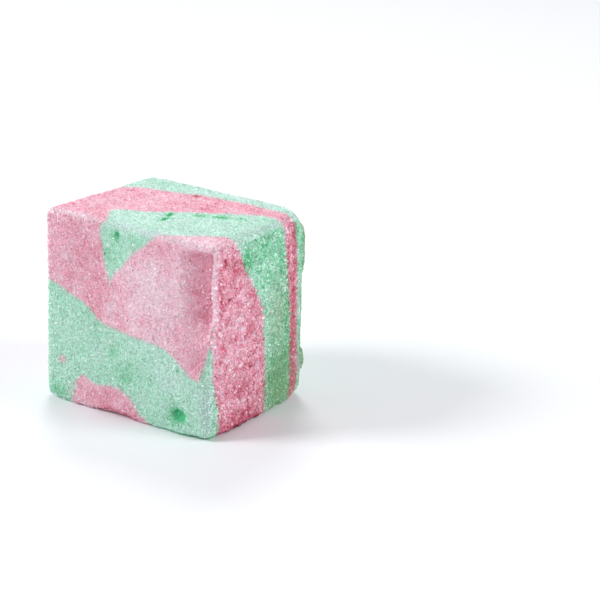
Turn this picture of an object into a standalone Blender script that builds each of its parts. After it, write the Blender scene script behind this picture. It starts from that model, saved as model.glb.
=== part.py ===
"""One marshmallow, marbled pink and mint, standing on a cut side.

It was cut square from a slab that is thinner than the square is wide. The slab's dusted skin
is the front, at -Y. The layer that lay on the tray is the back, at +Y. The left, right, top
and bottom are cut, and the bottom rests flat. The origin is under the middle of the block, on
the plane it stands on. Units are metres, with +Z up.
"""

import math

import bmesh
import bpy
from mathutils import Matrix, Vector, noise

MM = 0.001

# The block before any softening.
WIDTH = 38.0 * MM  # the cut square's side, left to right, along X
THICKNESS = 29.0 * MM  # the slab's, front to back, along Y
HEIGHT = 36.2 * MM  # the cut square's other side, along Z

# The knife ran a little askew, so each corner lies off the true block by this much.
CORNER_SHIFTS = {
    # (right, back, top): shift along X, Y and Z
    (0, 0, 0): Vector((-1.3, -1.2, 0.0)) * MM,
    (1, 0, 0): Vector((-0.8, -0.3, 0.0)) * MM,
    (0, 1, 0): Vector((-0.6, 0.2, 0.0)) * MM,
    (1, 1, 0): Vector((-0.7, -0.4, 0.0)) * MM,
    (0, 0, 1): Vector((-0.2, 0.1, 0.5)) * MM,
    (1, 0, 1): Vector((1.1, 0.9, 0.0)) * MM,
    (0, 1, 1): Vector((0.4, 0.6, 0.0)) * MM,
    (1, 1, 1): Vector((-0.1, 0.1, -0.3)) * MM,
}

# Edges are soft. The front upright on the right is crisp at the top and blunt at the foot.
EDGE_RADIUS = 1.7 * MM
BLUNT_RADIUS = 3.0 * MM
CRISP_RADIUS = 0.8 * MM
TOP_RIGHT_RADIUS = 2.6 * MM  # along the top of the right side
FAR_TOP_RADIUS = 3.4 * MM  # where that edge ends, at the back
BACK_RADIUS = 2.8 * MM  # down both back uprights, where the slab's tray side rounds over
BASE_RADIUS = 1.1 * MM  # round the foot, where the weight spreads it
HEEL_RADIUS = 2.8 * MM  # at the foot of the right back upright
TOE_RADIUS = 2.0 * MM  # at the foot of both front uprights

# A thumb-wide hollow runs down the front, beside the crisp upright.
HOLLOW_DEPTH = 2.0 * MM
HOLLOW_LEFT = 8.0 * MM  # where it starts, measured from the right side
HOLLOW_FLOOR = 1.6 * MM  # where it is deepest
HOLLOW_RIGHT = 0.7 * MM  # where it has risen to the lip
HOLLOW_FOOT = 17.0 * MM  # height at which it fades in
HOLLOW_FULL = 23.0 * MM  # height from which it has its full depth
HOLLOW_HEAD = 33.7 * MM  # height from which it fades out again
HOLLOW_END = 35.3 * MM

# Softer dimples lie beside it: a broad one, a fold under the hollow, and one near the foot.
DIMPLES = (
    # across and up the front, how far the dimple reaches each way, its depth
    (13.5 * MM, 26.0 * MM, 11.0 * MM, 18.0 * MM, 0.95 * MM),
    (35.6 * MM, 14.6 * MM, 3.2 * MM, 4.0 * MM, 0.80 * MM),
    (31.0 * MM, 4.0 * MM, 3.0 * MM, 2.6 * MM, 0.55 * MM),
)
DENT_DEPTH = 2.5 * MM  # distance behind the front over which these dents fade out

# The knife dragged a thin lip of skin out along that upright, and it wanders a little.
LIP_HEIGHT = 0.45 * MM
LIP_REACH = 0.9 * MM  # half the lip's width
LIP_FOOT = 20.0 * MM
LIP_HEAD = 34.6 * MM
LIP_WAVE = 0.30 * MM  # how far it wanders to each side
LIP_WAVE_LENGTH = 9.6 * MM
LIP_WAVE_CREST = 24.5 * MM  # a height where it lies furthest to the right

# The layer at the back is denser, and it beads out past the cut on the right.
BEADS = (
    # height of the middle, half length, how far it stands out
    (29.2 * MM, 5.0 * MM, 0.6 * MM),
    (7.4 * MM, 2.0 * MM, 0.9 * MM),
)
BEAD_DEPTH = 2.4 * MM  # thickness of the back layer

# The back left upright was squeezed, so that corner is blunter than the knife left it.
TRIM = 1.0 * MM
TRIM_REACH = 5.0 * MM

# The set foam is never flat.
SWELL = 0.22 * MM
SWELL_LENGTH = 9.0 * MM
SWELL_FADE = 2.0 * MM  # height above the base over which the unevenness starts
SWELL_SEED = 7

# Burst bubbles. Each has its face, its place across and up that face, and its radii across the
# face, up the face and into it.
PITS = {
    "low_front_pit": ("front", 31.7 * MM, 3.9 * MM, (0.95 * MM, 0.80 * MM, 0.6 * MM)),
    "high_front_pit": ("front", 16.6 * MM, 34.1 * MM, (0.45 * MM, 0.65 * MM, 0.5 * MM)),
    "side_pit": ("right", 11.3 * MM, 11.1 * MM, (0.5 * MM, 0.6 * MM, 0.6 * MM)),
    "top_crack": ("top", 20.6 * MM, 8.9 * MM, (0.5 * MM, 1.9 * MM, 0.5 * MM)),
    "top_pit": ("top", 16.3 * MM, 22.7 * MM, (0.7 * MM, 0.5 * MM, 0.5 * MM)),
}

CELLS = 24  # quads along each side of the block
EDGE_CROWDING = 0.8  # 0 spaces the quads evenly, 1 crowds them hardest towards the edges

PINK = (0.84, 0.38, 0.47, 1.0)
SUGAR_ROUGHNESS = 0.75


def clear_scene():
    for thing in list(bpy.data.objects):
        bpy.data.objects.remove(thing, do_unlink=True)


def new_collection(name):
    made = bpy.data.collections.new(name)
    bpy.context.scene.collection.children.link(made)
    return made


def new_material(name, colour, roughness):
    made = bpy.data.materials.new(name)
    made.use_nodes = True
    shader = made.node_tree.nodes["Principled BSDF"]
    shader.inputs["Base Color"].default_value = colour
    shader.inputs["Roughness"].default_value = roughness
    shader.inputs["Metallic"].default_value = 0.0
    made.diffuse_color = colour
    return made


def ramp(value, start, end):
    """0 before start, 1 after end, with a smooth rise between them."""
    share = min(max((value - start) / (end - start), 0.0), 1.0)
    return share * share * (3.0 - 2.0 * share)


def hump(value, middle, reach):
    """1 at the middle and 0 past its reach, with a smooth fall."""
    return 1.0 - ramp(abs(value - middle), 0.0, reach)


def dome(value, middle, reach):
    """1 at the middle and 0 past its reach, full and round like a bead of sauce."""
    return math.sqrt(max(0.0, 1.0 - ((value - middle) / reach) ** 2))


def crowded(share):
    """Moves a grid line from its even place, 0 to 1, towards the nearer edge."""
    even = 2.0 * share - 1.0
    curved = math.sin(even * math.pi / 2.0)
    return 0.5 + 0.5 * (even + EDGE_CROWDING * (curved - even))


def edge_radius(place):
    """How soft the block is near a place on it."""
    up = place.z / HEIGHT
    at_right = ramp(place.x, WIDTH - 6.0 * MM, WIDTH - 2.0 * MM)
    at_left = 1.0 - ramp(place.x, 2.0 * MM, 6.0 * MM)
    at_front = 1.0 - ramp(place.y, 2.0 * MM, 6.0 * MM)
    at_top = ramp(place.z, HEIGHT - 6.0 * MM, HEIGHT - 2.0 * MM)
    at_back = ramp(place.y, THICKNESS - 6.0 * MM, THICKNESS - 2.0 * MM)
    at_base = 1.0 - ramp(place.z, 1.5 * MM, 5.0 * MM)
    upright = BLUNT_RADIUS + (CRISP_RADIUS - BLUNT_RADIUS) * ramp(up, 0.35, 0.62)
    radius = EDGE_RADIUS
    top_right = TOP_RIGHT_RADIUS + (FAR_TOP_RADIUS - TOP_RIGHT_RADIUS) * at_back
    radius += (top_right - radius) * at_right * at_top * (1.0 - at_front)
    radius += (BACK_RADIUS - radius) * at_back * (1.0 - at_top)
    radius += (upright - radius) * at_right * at_front * (1.0 - at_top)
    foot = BASE_RADIUS + (HEEL_RADIUS - BASE_RADIUS) * at_right * at_back
    foot += (TOE_RADIUS - BASE_RADIUS) * (at_left + at_right) * at_front
    radius += (foot - radius) * at_base
    return radius


def softened(place):
    """A place on the true block, drawn in to the block with round edges."""
    radius = edge_radius(place)
    size = (WIDTH, THICKNESS, HEIGHT)
    core = Vector(min(max(p, radius), s - radius) for p, s in zip(place, size))
    return core + (place - core).normalized() * radius


def askew(place):
    """How far the knife's slant moves a place, shared out between the corners."""
    across = place.x / WIDTH
    back = place.y / THICKNESS
    up = place.z / HEIGHT
    total = Vector((0.0, 0.0, 0.0))
    for (right, far, top), shift in CORNER_SHIFTS.items():
        share = across if right else 1.0 - across
        share *= back if far else 1.0 - back
        share *= up if top else 1.0 - up
        total += shift * share
    return total


def hollow(place):
    """Depth of the hollow in the front at this place."""
    from_right = WIDTH - place.x
    left_slope = 1.0 - ramp(from_right, HOLLOW_FLOOR, HOLLOW_LEFT)
    right_slope = ramp(from_right, HOLLOW_RIGHT, HOLLOW_FLOOR)
    run = ramp(place.z, HOLLOW_FOOT, HOLLOW_FULL)
    run *= 1.0 - ramp(place.z, HOLLOW_HEAD, HOLLOW_END)
    return HOLLOW_DEPTH * left_slope * right_slope * run


def dimples(place):
    """Depth of the soft dimples in the front at this place."""
    depth = 0.0
    for across, up, reach_across, reach_up, full_depth in DIMPLES:
        off_middle = math.hypot((place.x - across) / reach_across, (place.z - up) / reach_up)
        depth += full_depth * hump(off_middle, 0.0, 1.0)
    return depth


def dents(place):
    """Depth of the hollow and the dimples together, only in the front."""
    at_front = 1.0 - ramp(place.y, 0.0, DENT_DEPTH)
    return (hollow(place) + dimples(place)) * at_front


def lip(place):
    """How far the lip stands out at this place."""
    off_edge = math.hypot(WIDTH - place.x, place.y)
    run = ramp(place.z, LIP_FOOT, LIP_FOOT + 4.0 * MM)
    run *= 1.0 - ramp(place.z, LIP_HEAD - 3.0 * MM, LIP_HEAD)
    return LIP_HEIGHT * hump(off_edge, 0.0, LIP_REACH) * run


def lip_wave(place):
    """How far the lip wanders to the right at this place."""
    off_edge = math.hypot(WIDTH - place.x, place.y)
    run = ramp(place.z, LIP_FOOT - 4.0 * MM, LIP_FOOT)
    run *= 1.0 - ramp(place.z, LIP_HEAD - 1.0 * MM, LIP_HEAD + 1.0 * MM)
    wave = LIP_WAVE * math.cos(2.0 * math.pi * (place.z - LIP_WAVE_CREST) / LIP_WAVE_LENGTH)
    return wave * run * hump(off_edge, 0.0, 3.0 * LIP_REACH)


def trim(place):
    """How far the back left upright is squeezed in at this place."""
    off_upright = math.hypot(place.x, THICKNESS - place.y)
    return TRIM * hump(off_upright, 0.0, TRIM_REACH)


def bead(place):
    """How far the back layer stands out of the right side at this place."""
    at_right = ramp(place.x, WIDTH - 2.0 * MM, WIDTH)
    at_back = hump(place.y, THICKNESS - 0.8 * MM, BEAD_DEPTH)
    out = max(height * dome(place.z, middle, reach) for middle, reach, height in BEADS)
    return out * at_right * at_back


def swell(place):
    """The foam's own unevenness, none at the base so that the block rests flat."""
    fade = ramp(place.z, 0.0, SWELL_FADE)
    return noise.noise_vector(place / SWELL_LENGTH) * SWELL * fade


def shaped(place):
    """Where a place on the true block ends up on the marshmallow."""
    moved = softened(place) + askew(place) + swell(place)
    moved.y += dents(place)
    moved += Vector((0.7, -0.7, 0.0)) * (lip(place) + trim(place))
    moved.x += bead(place) + lip_wave(place)
    moved.z = max(moved.z, 0.0)
    return moved


def make_block(collection, finish):
    """The block: a cube cut into quads, with every corner of every quad moved to its place."""
    mesh = bpy.data.meshes.new("marshmallow")
    shape = bmesh.new()
    bmesh.ops.create_cube(shape, size=1.0, matrix=Matrix.Translation((0.5, 0.5, 0.5)))
    bmesh.ops.subdivide_edges(shape, edges=shape.edges[:], cuts=CELLS - 1, use_grid_fill=True)
    size = (WIDTH, THICKNESS, HEIGHT)
    for corner in shape.verts:
        place = Vector(crowded(share) * side for share, side in zip(corner.co, size))
        corner.co = shaped(place)
    shape.to_mesh(mesh)
    shape.free()
    mesh.shade_smooth()
    block = bpy.data.objects.new("marshmallow", mesh)
    block.data.materials.append(finish)
    collection.objects.link(block)
    return block


def pit_place(face, across, up):
    """The true block's point for a place on one of its faces."""
    places = {
        "front": Vector((across, 0.0, up)),
        "right": Vector((WIDTH, across, up)),
        "top": Vector((across, up, HEIGHT)),
    }
    return places[face]


def make_pit(name, collection, finish):
    """A ball squashed to a bubble's three radii, for cutting it out of the block."""
    face, across, up, (wide, tall, deep) = PITS[name]
    along_axes = {
        "front": (wide, deep, tall),
        "right": (deep, wide, tall),
        "top": (wide, tall, deep),
    }
    middle = shaped(pit_place(face, across, up))
    ball = Matrix.Translation(middle) @ Matrix.Diagonal((*along_axes[face], 1.0))
    mesh = bpy.data.meshes.new(name)
    shape = bmesh.new()
    bmesh.ops.create_uvsphere(shape, u_segments=12, v_segments=8, radius=1.0, matrix=ball)
    shape.to_mesh(mesh)
    shape.free()
    cutter = bpy.data.objects.new(name, mesh)
    cutter.data.materials.append(finish)
    cutter.hide_render = True
    cutter.display_type = "WIRE"
    collection.objects.link(cutter)
    return cutter


def cut(block, cutter):
    hole = block.modifiers.new(cutter.name, "BOOLEAN")
    hole.operation = "DIFFERENCE"
    hole.object = cutter


def stand_on_origin(things):
    """Moves the things together so that the first one's box stands centred on the origin."""
    corners = [v.co for v in things[0].data.vertices]
    low = Vector(min(c[axis] for c in corners) for axis in range(3))
    high = Vector(max(c[axis] for c in corners) for axis in range(3))
    base = Vector(((low.x + high.x) / 2.0, (low.y + high.y) / 2.0, low.z))
    for thing in things:
        thing.data.transform(Matrix.Translation(-base))


def main():
    clear_scene()
    noise.seed_set(SWELL_SEED)
    parts = new_collection("Marbled marshmallow")
    cutters = new_collection("Cutters")
    finish = new_material("sugared_marshmallow", PINK, SUGAR_ROUGHNESS)
    block = make_block(parts, finish)
    pits = [make_pit(name, cutters, finish) for name in PITS]
    stand_on_origin([block, *pits])
    for pit in pits:
        cut(block, pit)


main()
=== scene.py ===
# %% [markdown]
# # One marbled marshmallow
# The sweet is a block of set sugar foam, cut square from a slab. Pink and mint foam were
# swirled together before the slab set. Its front was the slab's dusted skin, its back lay on
# the tray, and its other four sides were cut with a knife and rolled in sugar.
# The solid model comes first, because it fixes the size and the place of everything else.

# %% Load the solid model
import math

import bpy
import numpy as np
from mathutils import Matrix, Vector, noise


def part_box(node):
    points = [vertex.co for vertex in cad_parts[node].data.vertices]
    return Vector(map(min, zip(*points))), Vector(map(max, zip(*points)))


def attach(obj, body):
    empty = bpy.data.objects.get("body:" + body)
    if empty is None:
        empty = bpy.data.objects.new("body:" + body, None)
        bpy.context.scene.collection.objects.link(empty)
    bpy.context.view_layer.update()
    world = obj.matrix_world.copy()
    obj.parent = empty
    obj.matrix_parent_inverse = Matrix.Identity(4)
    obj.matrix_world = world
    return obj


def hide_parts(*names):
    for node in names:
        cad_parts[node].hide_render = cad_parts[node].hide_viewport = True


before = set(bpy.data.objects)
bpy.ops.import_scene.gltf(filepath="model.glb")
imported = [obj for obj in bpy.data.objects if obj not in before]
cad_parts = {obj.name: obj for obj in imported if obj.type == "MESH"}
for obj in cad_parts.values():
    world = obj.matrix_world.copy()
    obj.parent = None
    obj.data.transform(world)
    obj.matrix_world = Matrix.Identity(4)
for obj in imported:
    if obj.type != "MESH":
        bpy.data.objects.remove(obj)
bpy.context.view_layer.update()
cad_low, cad_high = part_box("marshmallow")
print("solid model, mm:", [round(side * 1000, 2) for side in cad_high - cad_low])

# %% [markdown]
# ## The block's sizes
# A soft sweet has no straight edge, so its form is worked out in two steps. First comes a true
# block, as the knife would have cut it from something hard. Then each of its points is moved:
# in at the round edges, along with the slant of the knife, and out or in where the foam swells
# or was pressed or squeezed. Every size is in millimetres, and metres come only at the end.

# %% Sizes of the block
WIDTH = 38.0
THICKNESS = 29.0
HEIGHT = 36.2
BLOCK = np.array([WIDTH, THICKNESS, HEIGHT])

CORNER_SHIFTS = {
    # (right, back, top): how far the slanting knife moved that corner
    (0, 0, 0): (-1.3, -1.2, 0.0),
    (1, 0, 0): (-0.8, -0.3, 0.0),
    (0, 1, 0): (-0.6, 0.2, 0.0),
    (1, 1, 0): (-0.7, -0.4, 0.0),
    (0, 0, 1): (-0.2, 0.1, 0.5),
    (1, 0, 1): (1.1, 0.9, 0.0),
    (0, 1, 1): (0.4, 0.6, 0.0),
    (1, 1, 1): (-0.1, 0.1, -0.3),
}

EDGE_RADIUS = 1.7
BLUNT_RADIUS = 3.0
CRISP_RADIUS = 0.8
TOP_RIGHT_RADIUS = 2.6
FAR_TOP_RADIUS = 3.4
BACK_RADIUS = 2.8
BASE_RADIUS = 1.1
HEEL_RADIUS = 2.8
TOE_RADIUS = 2.0

HOLLOW_DEPTH = 2.0
HOLLOW_LEFT = 8.0
HOLLOW_FLOOR = 1.6
HOLLOW_RIGHT = 0.7
HOLLOW_FOOT = 17.0
HOLLOW_FULL = 23.0
HOLLOW_HEAD = 33.7
HOLLOW_END = 35.3

DIMPLES = (
    # across and up the front, how far the dimple reaches each way, its depth
    (13.5, 26.0, 11.0, 18.0, 0.95),
    (35.6, 14.6, 3.2, 4.0, 0.80),
    (31.0, 4.0, 3.0, 2.6, 0.55),
)

LIP_HEIGHT = 0.45
LIP_REACH = 0.9
LIP_FOOT = 20.0
LIP_HEAD = 34.6
LIP_WAVE = 0.30
LIP_WAVE_LENGTH = 9.6
LIP_WAVE_CREST = 24.5

BEADS = (
    # height of the middle, half length, how far it stands out
    (29.2, 5.0, 0.6),
    (7.4, 2.0, 0.9),
)
BEAD_DEPTH = 2.4

TRIM = 1.0  # how far the back left upright is squeezed in
TRIM_REACH = 5.0

SWELL = 0.22
SWELL_LENGTH = 9.0
SWELL_FADE = 2.0
SWELL_SEED = 7
noise.seed_set(SWELL_SEED)
print("true block, mm:", BLOCK)

# %% [markdown]
# ## Ramps and humps
# Nearly every soft change on the sweet is one of two curves. A ramp goes smoothly from 0 to 1
# between two places, and a hump rises and falls around one place. A dome is a hump that is
# full and round, and a patch on a side is a hump of the distance from its middle. NumPy works
# them out for all the points at once, which is much quicker than a loop.


# %% Soft curves
def ramp(value, start, end):
    """0 before start, 1 after end, with a smooth rise between them."""
    share = np.clip((value - start) / (end - start), 0.0, 1.0)
    return share * share * (3.0 - 2.0 * share)


def hump(value, middle, reach):
    """1 at the middle and 0 past its reach, with a smooth fall."""
    return 1.0 - ramp(np.abs(value - middle), 0.0, reach)


def dome(value, middle, reach):
    """1 at the middle and 0 past its reach, full and round like a bead of sauce."""
    return np.sqrt(np.maximum(0.0, 1.0 - ((value - middle) / reach) ** 2))


def from_middle(across, up, middle, reach):
    """How far places are from a patch's middle: 0 there and 1 at the end of its reach."""
    return np.hypot((across - middle[0]) / reach[0], (up - middle[1]) / reach[1])


print("ramp at its start, middle and end:", ramp(np.array([0.0, 0.5, 1.0]), 0.0, 1.0))

# %% [markdown]
# ## From the true block to the soft one
# A rounded edge can be had from a Bevel modifier, but one bevel has one radius. Here the
# radius changes along an edge: the front upright is crisp at the top and blunt at the foot.
# So each point is pulled in to a smaller core block and pushed out again by the local radius,
# which also gives the direction that faces out of the foam at that point.


# %% Round edges
EDGE_FADE = (2.0, 6.0)  # an edge's own radius is full to here and gone from there
BASE_FADE = (1.5, 5.0)
UPRIGHT_FADE = (0.35, 0.62)  # shares of the height: blunt below, crisp above


def edge_radius(place):
    """How soft the block is near each place on it."""
    x, y, z = place.T
    up = z / HEIGHT
    full, gone = EDGE_FADE
    at_right = ramp(x, WIDTH - gone, WIDTH - full)
    at_left = 1.0 - ramp(x, full, gone)
    at_front = 1.0 - ramp(y, full, gone)
    at_top = ramp(z, HEIGHT - gone, HEIGHT - full)
    at_back = ramp(y, THICKNESS - gone, THICKNESS - full)
    at_base = 1.0 - ramp(z, *BASE_FADE)
    upright = BLUNT_RADIUS + (CRISP_RADIUS - BLUNT_RADIUS) * ramp(up, *UPRIGHT_FADE)
    radius = np.full(len(place), EDGE_RADIUS)
    top_right = TOP_RIGHT_RADIUS + (FAR_TOP_RADIUS - TOP_RIGHT_RADIUS) * at_back
    radius += (top_right - radius) * at_right * at_top * (1.0 - at_front)
    radius += (BACK_RADIUS - radius) * at_back * (1.0 - at_top)
    radius += (upright - radius) * at_right * at_front * (1.0 - at_top)
    foot = BASE_RADIUS + (HEEL_RADIUS - BASE_RADIUS) * at_right * at_back
    foot += (TOE_RADIUS - BASE_RADIUS) * (at_left + at_right) * at_front
    radius += (foot - radius) * at_base
    return radius


def softened(place):
    """The places on the block with round edges, and the direction that faces out at each."""
    radius = edge_radius(place)[:, None]
    core = np.clip(place, radius, BLOCK - radius)
    outward = place - core
    outward /= np.linalg.norm(outward, axis=1)[:, None]
    return core + outward * radius, outward


front_upright = BLOCK * [[1, 0, 0.8], [1, 0, 0.2]]
print("front upright's radius, mm, high and low:", np.round(edge_radius(front_upright), 2))

# %% [markdown]
# ## Slant, hollow, lip and beads
# A thumb-wide hollow runs down the front beside the right upright, and the knife left a thin
# lip of skin along that upright. The tray layer at the back is denser, and it beads out past
# the cut. The back left upright was squeezed, so the outline is blunter there. A sculpted mesh
# could hold all this too, but sizes in the code keep it repeatable.


# %% The larger dents and swellings
def askew(place):
    """How far the knife's slant moves each place, shared out between the corners."""
    across, back, up = (place / BLOCK).T
    total = np.zeros_like(place)
    for (right, far, top), shift in CORNER_SHIFTS.items():
        share = across if right else 1.0 - across
        share = share * (back if far else 1.0 - back)
        share = share * (up if top else 1.0 - up)
        total += share[:, None] * np.array(shift)
    return total


def hollow(place):
    """Depth of the hollow in the front at each place."""
    x, y, z = place.T
    from_right = WIDTH - x
    left_slope = 1.0 - ramp(from_right, HOLLOW_FLOOR, HOLLOW_LEFT)
    right_slope = ramp(from_right, HOLLOW_RIGHT, HOLLOW_FLOOR)
    run = ramp(z, HOLLOW_FOOT, HOLLOW_FULL) * (1.0 - ramp(z, HOLLOW_HEAD, HOLLOW_END))
    at_front = 1.0 - ramp(y, 0.0, 2.5)
    return HOLLOW_DEPTH * left_slope * right_slope * run * at_front


def dimples(place):
    """Depth of the soft dimples in the front at each place."""
    x, y, z = place.T
    depth = np.zeros(len(place))
    for across, up, reach_across, reach_up, full_depth in DIMPLES:
        off = from_middle(x, z, (across, up), (reach_across, reach_up))
        depth += full_depth * hump(off, 0.0, 1.0)
    return depth * (1.0 - ramp(y, 0.0, 2.5))


def lip(place):
    """How far the lip stands out at each place."""
    x, y, z = place.T
    off_edge = np.hypot(WIDTH - x, y)
    run = ramp(z, LIP_FOOT, LIP_FOOT + 4.0) * (1.0 - ramp(z, LIP_HEAD - 3.0, LIP_HEAD))
    return LIP_HEIGHT * hump(off_edge, 0.0, LIP_REACH) * run


def lip_wave(place):
    """How far the lip wanders to the right at each place."""
    x, y, z = place.T
    off_edge = np.hypot(WIDTH - x, y)
    run = ramp(z, LIP_FOOT - 4.0, LIP_FOOT) * (1.0 - ramp(z, LIP_HEAD - 1.0, LIP_HEAD + 1.0))
    wave = LIP_WAVE * np.cos(2.0 * math.pi * (z - LIP_WAVE_CREST) / LIP_WAVE_LENGTH)
    return wave * run * hump(off_edge, 0.0, 3.0 * LIP_REACH)


def trim(place):
    """How far the back left upright is squeezed in at each place."""
    x, y, _ = place.T
    return TRIM * hump(np.hypot(x, THICKNESS - y), 0.0, TRIM_REACH)


def bead(place):
    """How far the tray layer stands out of the right side at each place."""
    x, y, z = place.T
    at_right = ramp(x, WIDTH - 2.0, WIDTH)
    at_back = hump(y, THICKNESS - 0.8, BEAD_DEPTH)
    out = np.zeros(len(place))
    for middle, reach, height in BEADS:
        out = np.maximum(out, height * dome(z, middle, reach))
    return out * at_right * at_back


def swell(place):
    """The foam's own slow unevenness, none at the base so that the block rests flat."""
    waves = np.array([noise.noise_vector(Vector(p) / SWELL_LENGTH) for p in place])
    return waves * (SWELL * ramp(place[:, 2], 0.0, SWELL_FADE))[:, None]


def shaped(place):
    """Where places on the true block end up on the marshmallow, and their outward directions."""
    moved, outward = softened(place)
    moved = moved + askew(place) + swell(place)
    moved[:, 1] += hollow(place) + dimples(place)
    moved += (lip(place) + trim(place))[:, None] * np.array([0.7, -0.7, 0.0])
    moved[:, 0] += bead(place) + lip_wave(place)
    moved[:, 2] = np.maximum(moved[:, 2], 0.0)
    return moved, outward


block_corners = BLOCK * [[0, 0, 1], [1, 0, 1], [1, 1, 1], [0, 1, 1]]
print("top corners end up at, mm:", np.round(shaped(block_corners)[0], 1).tolist())

# %% [markdown]
# ## A net of small quads
# The foam's surface needs points about a third of a millimetre apart, fine enough for its grain
# to be real shape. The net is the outside of a grid of small cells, like the stickers on a
# puzzle cube. Neighbouring sides share their points along the edges, so the skin is closed
# without any merging, and each side keeps a tidy table of its own points.

# %% The net
CELLS = (114, 87, 108)

grid_numbers = -np.ones([count + 1 for count in CELLS], dtype=int)
outside = np.zeros(grid_numbers.shape, dtype=bool)
for axis in range(3):
    outside[tuple(0 if a == axis else slice(None) for a in range(3))] = True
    outside[tuple(-1 if a == axis else slice(None) for a in range(3))] = True
grid_numbers[outside] = np.arange(outside.sum())
true_places = np.argwhere(outside) / np.array(CELLS) * BLOCK

SIDES = {
    # side: (table of its points by across and up, its two axes, does across x up face out)
    "front": (grid_numbers[:, 0, :], (0, 2), True),
    "back": (grid_numbers[:, -1, :], (0, 2), False),
    "left": (grid_numbers[0, :, :], (1, 2), False),
    "right": (grid_numbers[-1, :, :], (1, 2), True),
    "bottom": (grid_numbers[:, :, 0], (0, 1), False),
    "top": (grid_numbers[:, :, -1], (0, 1), True),
}
print("points in the net:", len(true_places))

# %% [markdown]
# ## The marbling
# The swirl is one thing seen on several sides, so each mint patch is drawn as an outline in
# millimetres on its side, and patches that meet at an edge leave off and start at the same
# place. A picture could carry the pattern, but outlines stay sharp at any size and can be
# changed by moving a point. Each outline is made of runs: a run is a smooth curve through a few
# points, and the corners are where runs meet. All that is outside the outlines is pink.

# %% Outlines of the mint patches
BEYOND = 3.0  # how far an outline runs on past its side's edge
PAST_RIGHT = WIDTH + BEYOND
PAST_BACK = THICKNESS + BEYOND
PAST_TOP = HEIGHT + BEYOND

FRONT_WEDGE = (
    ((12.4, PAST_TOP), (12.5, 35.7), (12.4, 33.7), (12.8, 31.3), (13.2, 28.4), (13.9, 26.4),
     (14.6, 24.5)),
    ((14.6, 24.5), (15.5, 26.6), (17.1, 28.1), (19.1, 30.6), (20.8, 32.1), (22.4, 33.3),
     (24.2, 35.0), (27.0, PAST_TOP)),
)
FRONT_FIELD = (
    ((-BEYOND, 24.0), (0.2, 23.0), (3.3, 22.3), (5.9, 21.1), (9.6, 19.7), (12.5, 17.4),
     (15.5, 16.7), (19.9, 16.2), (25.0, 15.9), (28.7, 14.9), (31.5, 13.0), (33.4, 11.5),
     (35.2, 11.0)),
    ((35.2, 11.0), (35.8, 13.5), (36.6, 16.2), (37.6, 17.6), (PAST_RIGHT, 17.0)),
    ((PAST_RIGHT, -BEYOND), (25.4, -BEYOND)),
    ((25.4, -BEYOND), (24.3, 0.4), (22.2, 2.0), (20.7, 3.9), (18.4, 5.4), (15.6, 5.7),
     (12.8, 5.2), (11.0, 5.6), (9.3, 6.2), (8.0, 5.0), (7.5, 2.8), (6.8, 0.5), (6.6, -BEYOND)),
    ((-BEYOND, -BEYOND), (-BEYOND, 24.0)),
)
RIGHT_NEAR_FOOT = (
    ((-BEYOND, 18.5), (0.0, 16.4), (0.6, 12.5), (2.0, 7.7), (2.5, 4.4), (2.7, -BEYOND)),
    ((-BEYOND, -BEYOND), (-BEYOND, 18.5)),
)
RIGHT_BAND = (
    ((6.2, PAST_TOP), (6.6, 35.1), (7.6, 32.2), (9.5, 28.8), (12.7, 24.5), (14.6, 20.3),
     (15.4, 14.5), (16.3, 8.7), (16.5, 4.0), (16.2, -BEYOND)),
    ((23.4, -BEYOND), (23.7, 4.0), (23.7, 11.0), (23.1, 20.2), (22.2, 26.4), (21.3, 31.4),
     (20.7, PAST_TOP)),
)
RIGHT_TRAY = (
    ((24.4, PAST_TOP), (24.7, 33.5), (25.2, 28.6), (25.6, 22.5), (25.8, 15.6), (26.3, 9.5),
     (26.3, 4.8), (25.7, -BEYOND)),
    ((PAST_BACK, -BEYOND), (PAST_BACK, PAST_TOP)),
)
TOP_MIDDLE = (
    ((13.4, -BEYOND), (13.3, 0.8), (12.2, 3.0), (10.0, 6.2), (11.4, 7.7), (16.3, 9.9),
     (19.8, 12.2), (22.6, 14.5), (26.1, 16.5), (30.6, 19.0), (34.3, 20.7), (PAST_RIGHT, 20.9)),
    ((PAST_RIGHT, 6.8), (36.1, 6.1), (33.6, 4.6), (31.2, 3.0), (28.2, 1.3), (25.2, 0.3),
     (23.0, -BEYOND)),
)
TOP_TRAY = (
    ((-BEYOND, 16.8), (2.3, 19.3), (4.8, 20.8), (8.4, 21.6), (12.6, 22.3), (16.8, 23.7),
     (22.0, 24.4), (29.6, 24.7), (PAST_RIGHT, 24.4)),
    ((PAST_RIGHT, PAST_BACK), (-BEYOND, PAST_BACK)),
)
LEFT_FRONT_FIELD = (
    ((-BEYOND, 23.6), (0.0, 23.0), (3.4, 21.6), (6.4, 18.0), (8.4, 13.2), (10.4, 7.6),
     (11.2, 3.0), (11.5, -BEYOND)),
    ((-BEYOND, -BEYOND), (-BEYOND, 23.6)),
)
LEFT_TRAY = (
    ((18.2, PAST_TOP), (18.2, 33.0), (19.0, 26.4), (20.6, 20.0), (22.0, 13.4), (23.8, 7.0),
     (24.4, -BEYOND)),
    ((PAST_BACK, -BEYOND), (PAST_BACK, PAST_TOP)),
)
BOTTOM_LEFT_FIELD = (
    ((6.8, -BEYOND), (6.9, 0.6), (6.0, 5.2), (3.2, 9.4), (-BEYOND, 11.8)),
    ((-BEYOND, -BEYOND), (6.8, -BEYOND)),
)
BOTTOM_NEAR_FOOT = (
    ((25.0, -BEYOND), (24.8, 0.6), (27.4, 2.8), (32.6, 3.6), (PAST_RIGHT, 2.6)),
    ((PAST_RIGHT, -BEYOND), (25.0, -BEYOND)),
)
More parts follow.
